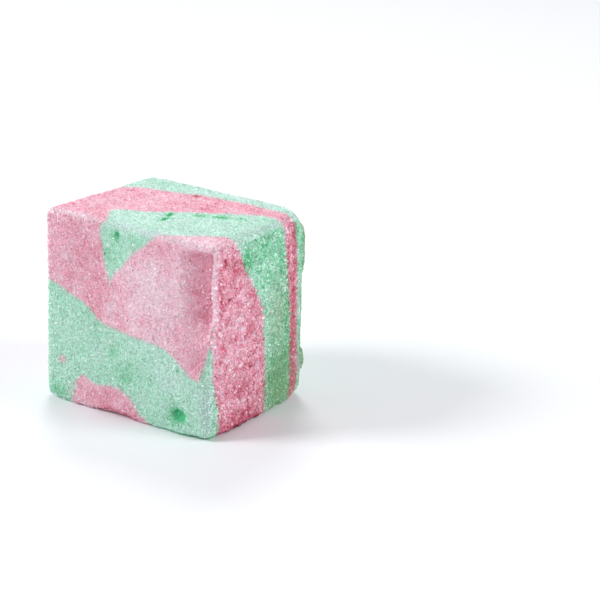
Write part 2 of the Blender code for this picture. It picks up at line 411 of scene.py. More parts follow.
BOTTOM_TONGUE = (
    ((PAST_RIGHT, 16.0), (33.2, 16.8), (27.0, 18.2), (21.6, 19.0), (19.4, 20.2), (22.6, 21.4),
     (28.4, 22.2), (PAST_RIGHT, 23.5)),
)
BOTTOM_TRAY = (
    ((-BEYOND, 24.2), (8.4, 25.2), (19.6, 24.9), (30.0, 26.2), (PAST_RIGHT, 25.6)),
    ((PAST_RIGHT, PAST_BACK), (-BEYOND, PAST_BACK)),
)
BACK_ALL = (
    ((-BEYOND, -BEYOND), (PAST_RIGHT, -BEYOND)),
    ((PAST_RIGHT, PAST_TOP), (-BEYOND, PAST_TOP)),
)

MINT_PATCHES = {
    "front": (FRONT_WEDGE, FRONT_FIELD),
    "back": (BACK_ALL,),
    "left": (LEFT_FRONT_FIELD, LEFT_TRAY),
    "right": (RIGHT_NEAR_FOOT, RIGHT_BAND, RIGHT_TRAY),
    "bottom": (BOTTOM_LEFT_FIELD, BOTTOM_NEAR_FOOT, BOTTOM_TONGUE, BOTTOM_TRAY),
    "top": (TOP_MIDDLE, TOP_TRAY),
}
print("mint patches:", {side: len(patches) for side, patches in MINT_PATCHES.items()})

# %% [markdown]
# ## Distance to the swirl's border
# Painting a point pink or mint by asking only which side of a border it is on would give stair
# steps, because the points are a third of a millimetre apart. So each point keeps its distance
# to the nearest border instead, in millimetres, more than 0 in mint and less than 0 in pink.
# Between points that distance changes evenly, and the material finds the border where it
# passes 0. In two places a little pink was stirred into the mint. There the distance is pulled
# down to about 0, and both colours mingle.

# %% Distance to the nearest border
STEPS_PER_SPAN = 8


def smooth_run(points):
    """A curve through the points, as short straight steps (a Catmull-Rom spline)."""
    points = np.array(points)
    if len(points) < 3:
        return points
    padded = np.vstack([2 * points[0] - points[1], points, 2 * points[-1] - points[-2]])
    before, start, end, after = padded[:-3], padded[1:-2], padded[2:-1], padded[3:]
    pieces = []
    for t in np.arange(STEPS_PER_SPAN) / STEPS_PER_SPAN:
        pieces.append(0.5 * (
            2 * start + (end - before) * t
            + (2 * before - 5 * start + 4 * end - after) * t**2
            + (3 * start - before - 3 * end + after) * t**3
        ))
    curve = np.stack(pieces, axis=1).reshape(-1, 2)
    return np.vstack([curve, points[-1]])


def border_distance(outline, spots):
    """Distance from each spot to a closed outline, more than 0 inside it."""
    corners = np.vstack([smooth_run(run) for run in outline])
    nearest = np.full(len(spots), np.inf)
    inside = np.zeros(len(spots), dtype=bool)
    for start, end in zip(corners, np.roll(corners, -1, axis=0)):
        side = end - start
        length = side @ side
        if length == 0.0:
            continue
        to_spot = spots - start
        share = np.clip(to_spot @ side / length, 0.0, 1.0)
        gap = to_spot - share[:, None] * side
        nearest = np.minimum(nearest, np.hypot(gap[:, 0], gap[:, 1]))
        crosses = (start[1] > spots[:, 1]) != (end[1] > spots[:, 1])
        if start[1] != end[1]:
            reach = start[0] + (spots[:, 1] - start[1]) * side[0] / side[1]
            inside ^= crosses & (spots[:, 0] < reach)
    return np.where(inside, nearest, -nearest)


def spots_of(side):
    """The places of a side's points, across and up that side."""
    table, axes, _ = SIDES[side]
    return true_places[table.ravel()][:, axes]


mint_total = np.zeros(len(true_places))
mint_count = np.zeros(len(true_places))
for side, patches in MINT_PATCHES.items():
    spots = spots_of(side)
    distance = np.max([border_distance(outline, spots) for outline in patches], axis=0)
    numbers = SIDES[side][0].ravel()
    mint_total[numbers] += distance
    mint_count[numbers] += 1
mint_distance = mint_total / mint_count
print("distance to the border, mm:", np.round((mint_distance.min(), mint_distance.max()), 1))

# %% Pink stirred into the mint
SMUDGES = (
    # where a little pink is stirred into the front's mint: across, up, reach each way, how much
    (4.3, 8.1, 1.9, 1.9, 1.02),
    (6.2, 2.8, 2.2, 3.4, 0.75),
)
SMUDGE_CORE = 0.4  # the share of its reach over which a smudge is full
x, y, z = true_places.T
for across, up, reach_across, reach_up, share in SMUDGES:
    off = from_middle(x, z, (across, up), (reach_across, reach_up))
    mint_distance *= 1.0 - share * (1.0 - ramp(off, SMUDGE_CORE, 1.0)) * (y == 0.0)
print("share of the points in mint:", round(float((mint_distance > 0).mean()), 3))

# %% [markdown]
# ## Grain, bubbles and pits
# A sweet like this is never smooth. The cut sides show the foam's open bubbles, the dusted
# skin is finer, and a few bubbles burst wide open. Grain is added along the outward
# direction: slow and quick noise for the foam, and small round dimples where cells of a
# Voronoi pattern have their middles. Where the foam is dense, low on the right side and along
# the tray layer, the grain is calm. The named pits are put in one by one, at their places.

# %% Where the skin is dusted and where it is cut
front_share = 1.0 - ramp(y, 0.4, 1.6)
back_share = ramp(y, THICKNESS - 1.6, THICKNESS - 0.4)
skin_share = np.clip(front_share + back_share, 0.0, 1.0)
on_right = ramp(x, WIDTH - 2.0, WIDTH)
smooth_places, outward = shaped(true_places)
print("dusted share of the points:", round(float(skin_share.mean()), 3))

# %% Grain of the foam
COARSE_GRAIN = 1.5
FINE_GRAIN = 0.62
BUBBLE_SPACING = 1.25
BUBBLE_REACH = 0.33
CUT_GRAIN_HEIGHT = 0.11
SKIN_GRAIN_HEIGHT = 0.05
BUBBLE_DEPTH = 0.16
FINE_SHARE = 0.7  # how high the fine grain is beside the coarse
SKIN_CLOSED = 0.85  # how much of its bubbles the dusted skin has closed
CALM_SHARE = 0.7  # how much of the grain is missing where the foam is dense
CALM_MIDDLE = (20.0, 2.0)
CALM_REACH = (6.5, 26.0)
TRAY_START = 24.0
TRAY_FULL = 26.5
SUGAR_ROOM = 0.12  # the foam stays this much inside the form, to leave room for the sugar


def noise_at(places, length):
    """Soft noise at each place, from about -1 to 1, in blobs of about that length."""
    return np.array([noise.noise(Vector(place) / length) for place in places])


coarse = noise_at(true_places, COARSE_GRAIN)
fine = noise_at(true_places, FINE_GRAIN)
bubble_gap = np.array([noise.voronoi(Vector(p) / BUBBLE_SPACING)[0][0] for p in true_places])
bubble = 1.0 - ramp(bubble_gap, 0.0, BUBBLE_REACH)
grain_height = CUT_GRAIN_HEIGHT + (SKIN_GRAIN_HEIGHT - CUT_GRAIN_HEIGHT) * skin_share
off_calm = from_middle(y, z, CALM_MIDDLE, CALM_REACH)
calm = np.maximum(hump(off_calm, 0.0, 1.0), ramp(y, TRAY_START, TRAY_FULL)) * on_right
grain_height *= 1.0 - CALM_SHARE * calm
relief = (coarse + FINE_SHARE * fine) * grain_height
relief -= BUBBLE_DEPTH * bubble * (1.0 - SKIN_CLOSED * skin_share)
print("relief, mm:", round(float(relief.min()), 2), "to", round(float(relief.max()), 2))

# %% The burst bubbles
PITS = {
    # name: side, across, up, half width, half height, depth
    "low_front_pit": ("front", 31.6, 3.5, 1.05, 0.85, 0.55),
    "low_front_pit_end": ("front", 30.6, 4.2, 0.7, 0.5, 0.35),
    "high_front_pit": ("front", 16.2, 34.1, 0.5, 0.7, 0.4),
    "side_pit": ("right", 11.3, 11.1, 0.55, 0.65, 0.6),
    "upper_side_pit": ("right", 2.7, 33.0, 0.45, 0.5, 0.35),
    "middle_side_pit": ("right", 4.4, 25.7, 0.45, 0.5, 0.35),
    "top_crack": ("top", 20.1, 10.2, 0.55, 1.3, 0.5),
    "top_crack_end": ("top", 21.1, 7.6, 0.45, 1.3, 0.5),
    "top_pit": ("top", 16.3, 22.7, 0.8, 0.55, 0.5),
    "small_front_pit": ("front", 30.7, 11.9, 0.45, 0.4, 0.3),
}

pit_depth = np.zeros(len(true_places))
pit_shade = np.zeros(len(true_places))
for side, across, up, half_width, half_height, depth in PITS.values():
    table = SIDES[side][0].ravel()
    off = from_middle(*spots_of(side).T, (across, up), (half_width, half_height))
    pit_depth[table] = np.maximum(pit_depth[table], depth * dome(off, 0.0, 1.0))
    pit_shade[table] = np.maximum(pit_shade[table], 1.0 - ramp(off, 0.5, 1.7))
relief -= pit_depth + SUGAR_ROOM
print("pits:", ", ".join(PITS))

# %% [markdown]
# ## The ragged foot
# The block stands on a cut side, and its weight spreads the lowest skin a little. The rim
# under it isn't a clean line: here and there the foam doesn't quite reach the table. Lifting
# the rim by noise makes the small dark gaps that tie the sweet to the floor. Under the middle
# of the front there is one longer notch, where the rim is lifted and also set back a little.

# %% Lift the rim of the foot
RIM_REACH = 1.5
RIM_LIFT = 0.38
RIM_LENGTH = 1.7
NOTCH_MIDDLE = 16.5  # here the front's rim hangs clear of the table
NOTCH_REACH = 6.5
NOTCH_LIFT = 0.35
NOTCH_DEPTH = 0.5

to_rim = np.minimum(np.minimum(x, WIDTH - x), np.minimum(y, THICKNESS - y))
near_foot = (1.0 - ramp(z, 0.3, 1.6)) * (1.0 - ramp(to_rim, 0.2, RIM_REACH))
rim_wave = noise_at(true_places * [1, 1, 0], RIM_LENGTH)
notch = NOTCH_LIFT * hump(x, NOTCH_MIDDLE, NOTCH_REACH) * (1.0 - ramp(y, 0.0, 2.5))
rim_lift = (RIM_LIFT * np.maximum(rim_wave + 0.15, 0.0) + notch) * near_foot

relief *= ramp(z, 0.0, 1.2)
final_places = smooth_places + outward * relief[:, None]
final_places[:, 1] += NOTCH_DEPTH * notch / NOTCH_LIFT * (1.0 - ramp(z, 0.1, 0.8))
final_places[:, 2] = np.maximum(final_places[:, 2], 0.0) + rim_lift
print("most that the rim is lifted, mm:", round(float(rim_lift.max()), 2))

# %% [markdown]
# ## The same box as the solid model
# The net was made from the sizes alone, so its box could differ from the solid model's by a
# hair. Scaling the finished piece by hand would hide by how much. Here every point is moved
# and stretched by a measured share, less than a thousandth, and both boxes are the same.

# %% Set the block on the solid model's place
low = smooth_places.min(axis=0)
high = smooth_places.max(axis=0)
cad_size = np.array(cad_high - cad_low) * 1000
fit = cad_size / (high - low)
cad_foot = np.array([(cad_low.x + cad_high.x) / 2, (cad_low.y + cad_high.y) / 2, cad_low.z])
middle = (low + high) / 2
form_foot = np.array([middle[0], middle[1], low[2]])
final_places = (final_places - form_foot) * fit + cad_foot * 1000
print("fit to the solid model:", np.round(fit, 4))

# %% [markdown]
# ## Thick and thin sugar, and painted light and shade
# Where sugar lies thick the sweet is nearly white, and where it is worn off the dye is strong.
# That is one number for each point, its tone: 0 is deep, one half is usual and 1 is pale. Far
# above 1 it is bare white sugar, and in a few tiny patches a painted glint. Far below 0 it is a
# painted dark shade: the contact shadow along the foot and the deepest shade in cracks and pits.
# It is built up like a painting, from a mottle all over, the usual tone of each side, and soft
# patches. Some patches are where the sugar or the dye is paler or deeper. Others are painted
# light and shade: shade in the hollow, around pits and along the foot, and a shadow low on the
# right side. The painted light is highlights on the lip, at some edges and in a few glints. The
# foam and the sugar on it read the same tone, so they always agree.

# %% Tone from the shape, with painted shade in the hollow, pits and bubbles
dent = np.clip(hollow(true_places) / HOLLOW_DEPTH, 0.0, 1.0)
top_share = ramp(z, HEIGHT - 1.6, HEIGHT - 0.4)
right_share = ramp(x, WIDTH - 1.6, WIDTH - 0.4) * (1.0 - front_share) * (1.0 - top_share)
# the shade of open bubbles and pits: it is painted into the tone below, and it also leaves out
# sugar grains
shade = np.clip(0.8 * bubble * (1.0 - skin_share) + pit_shade, 0.0, 1.0)

MOTTLE_LENGTH = 3.2
MOTTLE_TONE = 0.16
FLECK_LENGTH = 1.1
FLECK_TONE = 0.18
FLECK_MORE = 0.22  # how much stronger the flecks are on the right side
PORE_LENGTH = 0.9
PORE_TONE = 0.28
MINT_EVENNESS = 0.45  # mint foam is this much more even than pink
FRONT_PALER = 0.20
FRONT_MINT = -0.12  # how much more so in mint
TOP_PALER = 0.17
TOP_MINT = 0.11
RIGHT_DEEPER = 0.08
# the next two are painted shade: a deeper tone in the front's hollow, and in pits and bubbles,
# where the dye also shows through missing sugar
HOLLOW_PAINTED_SHADE = 0.16
PIT_PAINTED_SHADE = 0.45
mottle = noise_at(true_places, MOTTLE_LENGTH)
fleck = noise_at(true_places, FLECK_LENGTH)
mint_part = ramp(mint_distance, -0.4, 0.4)
unevenness = MOTTLE_TONE * mottle + (FLECK_TONE + FLECK_MORE * right_share) * fleck
tone = 0.5 + unevenness * (1.0 - MINT_EVENNESS * mint_part)
tone += (FRONT_PALER + FRONT_MINT * mint_part) * front_share
tone += (TOP_PALER + TOP_MINT * mint_part) * top_share - RIGHT_DEEPER * right_share
pore = noise_at(true_places, PORE_LENGTH)
tone -= PORE_TONE * ramp(pore, 0.25, 0.5) * top_share * (1.0 - MINT_EVENNESS * mint_part)
# painted shade: the hollow, pits and bubbles are darkened in colour
tone -= HOLLOW_PAINTED_SHADE * dent + PIT_PAINTED_SHADE * shade
print("points in pits or bubbles:", int((shade > 0.3).sum()))

# %% Tone in soft patches
# across, up, reach across, reach up, how much paler
FRONT_TONES = (
    # the darker band at the left on this line is partly thinner dust and partly painted shade,
    # and the pale middle at (24.6, 25.5) below is partly thicker dust and partly painted light
    (7.5, 29.0, 7.0, 12.0, -0.10), (12.0, 25.0, 3.5, 14.0, -0.14), (9.5, 20.0, 3.5, 3.0, -0.10),
    (24.6, 25.5, 9.5, 9.0, 0.40), (17.5, 19.0, 6.0, 4.0, 0.12), (6.0, 34.8, 9.0, 2.6, -0.10),
    # painted highlights: two small glints at (14.0, 31.9) and (18.8, 28.6)
    (14.0, 31.9, 0.55, 0.55, 0.90), (18.8, 28.6, 0.5, 0.9, 0.60), (27.0, 17.5, 7.0, 4.0, 0.12),
    (24.0, 15.0, 9.0, 5.0, 0.10), (6.5, 14.5, 6.0, 5.0, 0.08), (12.5, 11.0, 5.0, 3.0, 0.14),
    (18.5, 9.0, 6.5, 3.0, -0.14), (30.0, 9.5, 6.0, 4.0, 0.20), (27.0, 12.0, 8.0, 4.0, 0.06),
    # deeper dye and painted shade around the low pit, at (30.7, 3.3) and (31.8, 3.3)
    (36.0, 7.0, 3.5, 7.0, 0.12), (30.7, 3.3, 3.2, 2.9, -0.42), (31.8, 3.3, 1.0, 0.9, -0.30),
    # deeper dye and painted shade around the high pit, at (16.0, 33.5)
    (16.0, 33.5, 1.8, 2.0, -0.18), (20.4, 33.5, 2.6, 1.7, -0.16), (16.2, 12.3, 1.8, 1.6, -0.26),
    (20.4, 10.8, 1.6, 1.7, -0.22), (18.6, 7.6, 2.4, 1.7, -0.20), (3.5, 1.8, 4.5, 2.6, -0.24),
    # painted shade in the fold below the hollow at (35.2, 13.6) and in the hollow at (35.0,
    # 23.5)
    (15.0, 3.0, 8.0, 4.0, -0.12), (35.2, 13.6, 2.6, 3.6, -0.26), (35.0, 23.5, 1.8, 5.0, -0.14),
    # painted highlight along the lip at (37.7, 28.0), and painted shade under the hollow's head
    # at (33.0, 33.4)
    (37.7, 28.0, 0.7, 10.0, 0.34), (33.5, 35.6, 5.0, 1.3, 0.12), (33.0, 33.4, 4.0, 1.6, -0.16),
    # paler along the top edge at (33.5, 35.6) and (27.0, 35.8) and along the left edge at (0.3,
    # 28.0): partly paler sugar and partly painted light
    (27.0, 35.8, 12.0, 1.2, 0.16), (0.3, 28.0, 0.9, 12.0, 0.40), (37.2, 8.0, 1.6, 8.0, 0.18),
    # painted shade along the foot at (17.0, 0.8), and on the next line a painted contact shadow
    # dark enough to reach the painted shade colour
    (16.0, 31.0, 4.0, 5.0, -0.10), (14.0, 3.0, 6.0, 4.0, -0.08), (17.0, 0.8, 6.5, 1.6, -0.40),
    (17.5, 0.0, 7.5, 0.9, -1.80), (32.0, 0.0, 9.0, 0.5, -1.20),
)
RIGHT_TONES = (
    (14.0, 33.0, 8.0, 5.0, -0.20), (16.0, 27.0, 5.0, 6.0, -0.06), (20.0, 30.0, 2.4, 8.0, -0.22),
    (18.5, 21.0, 4.0, 6.0, 0.08), (22.5, 16.0, 1.2, 22.0, -0.34), (24.1, 19.0, 1.1, 24.0, -0.42),
    (24.8, 33.0, 1.6, 4.0, -0.40), (28.0, 30.0, 2.8, 7.0, -0.45), (28.0, 7.4, 2.2, 2.4, -0.25),
    # painted shadow low on the back half at (20.0, 5.0)
    (20.0, 5.0, 5.0, 12.0, -0.45), (3.5, 29.0, 4.0, 7.0, -0.18), (1.4, 26.0, 1.3, 9.0, -0.20),
    (9.4, 31.5, 2.4, 4.5, -0.30), (1.0, 8.0, 1.6, 8.0, 0.16), (9.0, 8.0, 9.0, 9.0, -0.12),
    # painted highlight: a cluster of glints at (8.2, 21.0)
    (8.2, 21.0, 2.0, 1.0, 0.60), (6.0, 18.0, 7.0, 14.0, 0.10), (25.0, 16.0, 1.6, 20.0, -0.20),
    # painted shadow on the strip's lower part at (24.9, 4.0), painted shade along the foot, and
    # on the next line a painted contact shadow
    (24.9, 4.0, 2.2, 17.0, -0.32), (9.0, 1.0, 9.0, 5.0, -0.26), (9.0, 0.3, 12.0, 1.3, -0.30),
    (10.0, 0.0, 16.0, 0.8, -1.60),
)
TOP_TONES = (
    # the crack, on this line and the next: deeper dye and painted shade, dark enough in places
    # to reach the painted shade colour
    (20.0, 10.6, 1.1, 1.6, -0.85), (21.0, 8.0, 0.9, 1.6, -0.85), (21.5, 6.2, 0.7, 1.2, -0.70),
    (24.4, 13.3, 2.8, 1.5, -0.55), (28.4, 14.9, 3.2, 1.7, -0.75), (31.8, 16.1, 2.6, 1.4, -0.45),
    # paler along the top's front edge at (28.0, 0.4), and below at (33.5, 2.0) and (5.5, 0.6):
    # partly paler sugar and partly painted light
    (27.0, 22.6, 12.0, 2.2, -0.16), (22.4, 17.6, 1.3, 1.6, -0.40), (28.0, 0.4, 11.0, 1.4, 0.14),
    (35.0, 18.0, 3.0, 1.6, -0.20), (16.4, 22.8, 1.4, 1.0, -0.30), (24.0, 17.0, 8.0, 2.6, -0.12),
    (8.0, 25.0, 6.0, 2.2, -0.14), (33.5, 2.0, 6.0, 4.5, 0.28), (24.0, 27.5, 16.0, 2.6, 0.12),
    (5.5, 0.6, 9.0, 1.8, 0.24), (26.4, 14.2, 5.0, 0.8, -0.35), (17.0, 22.7, 2.6, 0.7, -0.25),
)
TONE_PATCHES = {"front": FRONT_TONES, "right": RIGHT_TONES, "top": TOP_TONES}
for side, patches in TONE_PATCHES.items():
    numbers = SIDES[side][0].ravel()
    spots = spots_of(side).T
    for across, up, reach_across, reach_up, paler in patches:
        off = from_middle(*spots, (across, up), (reach_across, reach_up))
        tone[numbers] += paler * hump(off, 0.0, 1.0)
print("tone:", round(float(tone.min()), 2), "to", round(float(tone.max()), 2))

# %% [markdown]
# ## What the material needs to know
# Colour isn't painted on the mesh. Each point carries a few plain numbers, and the material
# turns them into colour: how far it is inside mint, its tone, and how much dull green shows.
# That green is the bare skin where the tray layer shows at the back. Low on the right side's
# back half, it is a painted shadow.
# Blender calls these numbers attributes.

# %% Bare skin at the back and a painted shadow on the side
PAINTED_SHADOW_PATCHES = (
    # a painted shadow low on the right side's back half, in dull green: back, up, how far each
    # way, how strong
    (19.8, 18.0, 5.8, 13.0, 0.65),
    (20.6, 4.0, 7.0, 17.0, 0.9),
)
bare_skin_and_shadow = ramp(y, THICKNESS - 2.6, THICKNESS - 1.2) * ramp(x, WIDTH - 3.0, WIDTH - 0.6)
bare_skin_and_shadow *= 1.0 - 0.8 * top_share
for back, up, reach_back, reach_up, share in PAINTED_SHADOW_PATCHES:
    off = from_middle(y, z, (back, up), (reach_back, reach_up))
    bare_skin_and_shadow = np.maximum(bare_skin_and_shadow, share * hump(off, 0.0, 1.0) * on_right)
print("bare share of the points:", round(float(bare_skin_and_shadow.mean()), 3))

# %% [markdown]
# ## The foam's mesh
# The quads come straight from the net's tables. The mesh also gets its own flat map, with the
# six sides laid out side by side like a carton that has been cut open, so that a baked
# copy of the material keeps the same fineness on every side.


# %% Build the foam
def quads_of(side):
    """The corners of a side's quads, in the order that faces out."""
    table, _, faces_out = SIDES[side]
    near, far = table[:-1, :-1], table[1:, :-1]
    far_up, near_up = table[1:, 1:], table[:-1, 1:]
    corners = (near, far, far_up, near_up) if faces_out else (near, near_up, far_up, far)
    return np.stack(corners, axis=-1).reshape(-1, 4)


def put_in_scene(name, data):
    """A new object in the scene, which holds a mesh, a lamp or a camera."""
    made = bpy.data.objects.new(name, data)
    bpy.context.scene.collection.objects.link(made)
    return made


def mesh_piece(name, millimetres, faces):
    """A new piece in the scene, from points in millimetres and faces."""
    mesh = bpy.data.meshes.new(name)
    mesh.from_pydata((millimetres / 1000).tolist(), [], faces.tolist())
    return put_in_scene(name, mesh)


def carry_numbers(mesh, numbers):
    """Give each point of a mesh its plain numbers."""
    for name, values in numbers.items():
        attribute = mesh.attributes.new(name, "FLOAT", "POINT")
        attribute.data.foreach_set("value", values.astype(np.float32))


foam = mesh_piece("sugar_foam", final_places, np.vstack([quads_of(side) for side in SIDES]))
foam.data.shade_smooth()
carry_numbers(foam.data, {"mint": mint_distance, "tone": tone, "skin_and_shadow": bare_skin_and_shadow})
print("foam:", len(foam.data.polygons), "quads")

# %% The foam's flat map
MAP_GAP = 1.0
MAP_PLACES = {
    # side: left and lower edge of its panel, in mm
    "front": (0.0, 0.0),
    "right": (WIDTH + MAP_GAP, 0.0),
    "left": (WIDTH + THICKNESS + 2 * MAP_GAP, 0.0),
    "back": (0.0, HEIGHT + MAP_GAP),
    "top": (WIDTH + MAP_GAP, HEIGHT + MAP_GAP),
    "bottom": (0.0, 2 * (HEIGHT + MAP_GAP)),
}
map_size = np.array([WIDTH + 2 * (THICKNESS + MAP_GAP), 2 * (HEIGHT + MAP_GAP) + THICKNESS])

panels = []
for side in SIDES:
    axes = SIDES[side][1]
    spots = true_places[quads_of(side).ravel()][:, axes] + np.array(MAP_PLACES[side])
    panels.append((spots + MAP_GAP / 2) / (map_size + MAP_GAP))
foam_map = foam.data.uv_layers.new(name="OFBake")
foam_map.data.foreach_set("uv", np.vstack(panels).astype(np.float32).ravel())
print("flat map, mm:", map_size)

# %% [markdown]
# ## Colours of the sweet
# Colours are written as they look on a screen, from 0 to 255, and turned into the linear light
# values that Blender's shaders work in. Each foam has four colours. Deep is where the dye shows
# and where shade is painted into dents and pits. Then come middle, and pale, where white sugar
# covers it. Last is a painted dark shade, for the contact shadow along the foot and the deepest
# shade in cracks and pits. The dull green and the bare sugar have one each. The dull green
# serves for the bare skin and for a painted shadow on the right side.

# %% Named colours
def screen_colour(red, green, blue):
    """A colour as seen on a screen, as the linear colour that a shader takes."""
    shares = np.array([red, green, blue]) / 255.0
    linear = np.where(shares <= 0.04045, shares / 12.92, ((shares + 0.055) / 1.055) ** 2.4)
    return (*linear.tolist(), 1.0)


PINK_DEEP = screen_colour(208, 98, 124)
PINK_MIDDLE = screen_colour(243, 180, 199)
PINK_PALE = screen_colour(250, 222, 232)
MINT_DEEP = screen_colour(84, 196, 140)
MINT_MIDDLE = screen_colour(190, 234, 213)
MINT_PALE = screen_colour(219, 238, 235)
# painted dark shade: the contact shadow along the foot and the deepest shade in cracks and pits
PINK_PAINTED_SHADE = screen_colour(132, 34, 62)
MINT_PAINTED_SHADE = screen_colour(40, 120, 78)
# the dull green of the bare tray skin, also used as a painted shadow low on the right side
LIME_SKIN_AND_SHADOW = screen_colour(152, 180, 138)
SUGAR_WHITE = screen_colour(254, 251, 250)
BARE_SHARE = 0.8  # how much of the dull green shows where it is full, on bare skin and in the painted shadow
print("middle pink and mint, linear:", np.round([PINK_MIDDLE[:3], MINT_MIDDLE[:3]], 2).tolist())

# %% [markdown]
# ## Small helpers for nodes
# A node material is a drawing of which value feeds which. Making each node takes several
# lines in Python, so small helpers keep the drawing readable: they put a node in, do
# arithmetic, read a number that the mesh carries, make noise, and mix colours.


# %% Node helpers
def new_finish(name):
    """A new node material, its tree and its main shader."""
    finish = bpy.data.materials.new(name)
    finish.use_nodes = True
    return finish, finish.node_tree, finish.node_tree.nodes["Principled BSDF"]


def put(tree, kind, inputs=None, **settings):
    """A new node. Its inputs may be sockets, which are linked, or plain values."""
    made = tree.nodes.new(kind)
    for key, value in settings.items():
        setattr(made, key, value)
    for key, value in (inputs or {}).items():
        if isinstance(value, bpy.types.NodeSocket):
            tree.links.new(value, made.inputs[key])
        else:
            made.inputs[key].default_value = value
    return made


def sums(tree, operation, first, second):
    """The result of a Math node on two sockets or numbers."""
    return put(tree, "ShaderNodeMath", {0: first, 1: second}, operation=operation).outputs[0]


def weighed(tree, total, value, weight):
    """The total with weight times the value added to it."""
    made = put(tree, "ShaderNodeMath", {0: value, 1: weight, 2: total}, operation="MULTIPLY_ADD")
    return made.outputs[0]


def stretched(tree, value, start, end, low=0.0, high=1.0, **settings):
    """The value, moved so that start becomes low and end becomes high, and held between."""
    limits = {"Value": value, "From Min": start, "From Max": end, "To Min": low, "To Max": high}
    return put(tree, "ShaderNodeMapRange", limits, **settings).outputs[0]


def point_number(tree, name):
    """A number that the mesh's points carry."""
    return put(tree, "ShaderNodeAttribute", attribute_name=name).outputs["Fac"]


def grain_noise(tree, millimetres, length, detail=2.0, offset=0.0):
    """Noise from -1 to 1, roughly, whose blobs are about this many millimetres long."""
    place = millimetres
    if offset:
        move = {0: millimetres, 1: (offset, offset, offset)}
        place = put(tree, "ShaderNodeVectorMath", move).outputs[0]
    settings = {"Vector": place, "Scale": 1.0 / length, "Detail": detail, "Roughness": 0.6}
    grey = put(tree, "ShaderNodeTexNoise", settings).outputs["Fac"]
    return stretched(tree, grey, 0.25, 0.75, -1.0, 1.0)


print("node helpers:", ", ".join(maker.__name__ for maker in (put, sums, weighed, grain_noise)))

# %% [markdown]
# ## From tone to colour
# One tone has to give many colours: a painted dark shade, deep dye, the usual foam, pale foam
# and white sugar. A colour ramp could hold all five, but the foam's share of white is never
# quite full, so that a trace of the dye always shows. So the ramp has three colours, and the
# white and the painted shade are mixed over it, each from its own level of the tone on.

# %% Colour of foam and sugar
WHITE_START = 1.3  # the tone from which white sugar shows
WHITE_FULL = 1.8
WHITE_MOST = 0.75  # the most that it ever covers
PAINTED_SHADE_START = -0.4  # the tone below which the painted dark shade shows
PAINTED_SHADE_FULL = -1.0


def three_tones(tree, tone, deep, middle, pale):
    """A colour from deep at tone 0, through middle at one half, to pale at 1."""
    ramp_node = put(tree, "ShaderNodeValToRGB", {"Fac": tone})
    stops = ramp_node.color_ramp.elements
    stops[0].color = deep
    stops[1].color = pale
    stops.new(0.5).color = middle
    return ramp_node.outputs["Color"]


def mixed_colours(tree, share, first, second):
    """The first colour at a share of 0 and the second at 1. Either may be a socket."""
    mixed = put(tree, "ShaderNodeMix", {"Factor": share}, data_type="RGBA")
    for name, colour in (("A", first), ("B", second)):
        if isinstance(colour, bpy.types.NodeSocket):
            tree.links.new(colour, mixed.inputs[name])
        else:
            mixed.inputs[name].default_value = colour
    return mixed.outputs["Result"]


def foam_colour(tree, mint_share, tone):
    """Pink or mint as the tone says, with white sugar far above 1 and a painted dark shade far
    below 0.
    """
    pink = three_tones(tree, tone, PINK_DEEP, PINK_MIDDLE, PINK_PALE)
    mint = three_tones(tree, tone, MINT_DEEP, MINT_MIDDLE, MINT_PALE)
    dyed = mixed_colours(tree, mint_share, pink, mint)
    white_share = stretched(tree, tone, WHITE_START, WHITE_FULL, 0.0, WHITE_MOST)
    frosted = mixed_colours(tree, white_share, dyed, SUGAR_WHITE)
    painted_shade = mixed_colours(tree, mint_share, PINK_PAINTED_SHADE, MINT_PAINTED_SHADE)
    painted_shade_share = stretched(tree, tone, PAINTED_SHADE_START, PAINTED_SHADE_FULL)
    return mixed_colours(tree, painted_shade_share, frosted, painted_shade)


print("white sugar from tone", WHITE_START, "and syrup below", PAINTED_SHADE_START)

# %% [markdown]
# ## The foam's finish
# Under the sugar the foam is matt, a little see-through, and its colour is uneven. It is paler
# where sugar lies, and deeper in dents and bubbles, where shade is painted into the colour. The
# border between pink and mint is frayed, as the two foams mixed a little. Light goes some way
# into sugar foam before it comes out again, so the shader has subsurface scattering, with a
# reach of about a millimetre.

# %% Make the foam's finish
FRAY_FAR = 0.22  # mm that the border wanders, in long and in short waves
FRAY_NEAR = 0.16
BORDER_SOFTNESS = 0.34
UNDER_SUGAR = 0.08  # the foam is this much deeper than the sugar on it
GRAIN_TONE = 0.10
FOAM_ROUGHNESS = 0.72
ROUGHNESS_SPREAD = 0.14
LIGHT_REACH = 0.0012  # metres that light goes into the foam
BUMP_HEIGHT = 0.00008  # metres

foam_finish, tree, shader = new_finish("marbled_foam")
object_place = put(tree, "ShaderNodeTexCoord").outputs["Object"]
to_millimetres = {0: object_place, "Scale": 1000.0}
millimetres = put(tree, "ShaderNodeVectorMath", to_millimetres, operation="SCALE").outputs[0]

frayed = weighed(tree, point_number(tree, "mint"), grain_noise(tree, millimetres, 1.1), FRAY_FAR)
frayed = weighed(tree, frayed, grain_noise(tree, millimetres, 0.4, offset=9.0), FRAY_NEAR)
mint_share = stretched(tree, frayed, -BORDER_SOFTNESS, BORDER_SOFTNESS,
                       interpolation_type="SMOOTHSTEP")

foam_tone = sums(tree, "SUBTRACT", point_number(tree, "tone"), UNDER_SUGAR)
grains = grain_noise(tree, millimetres, 0.45, offset=2.0)
foam_tone = weighed(tree, foam_tone, grains, GRAIN_TONE)
colour = foam_colour(tree, mint_share, foam_tone)

# the dull green: bare tray skin, and a painted shadow on the right side
skin_and_shadow = weighed(tree, 0.0, point_number(tree, "skin_and_shadow"), BARE_SHARE)
tree.links.new(mixed_colours(tree, skin_and_shadow, colour, LIME_SKIN_AND_SHADOW), shader.inputs["Base Color"])

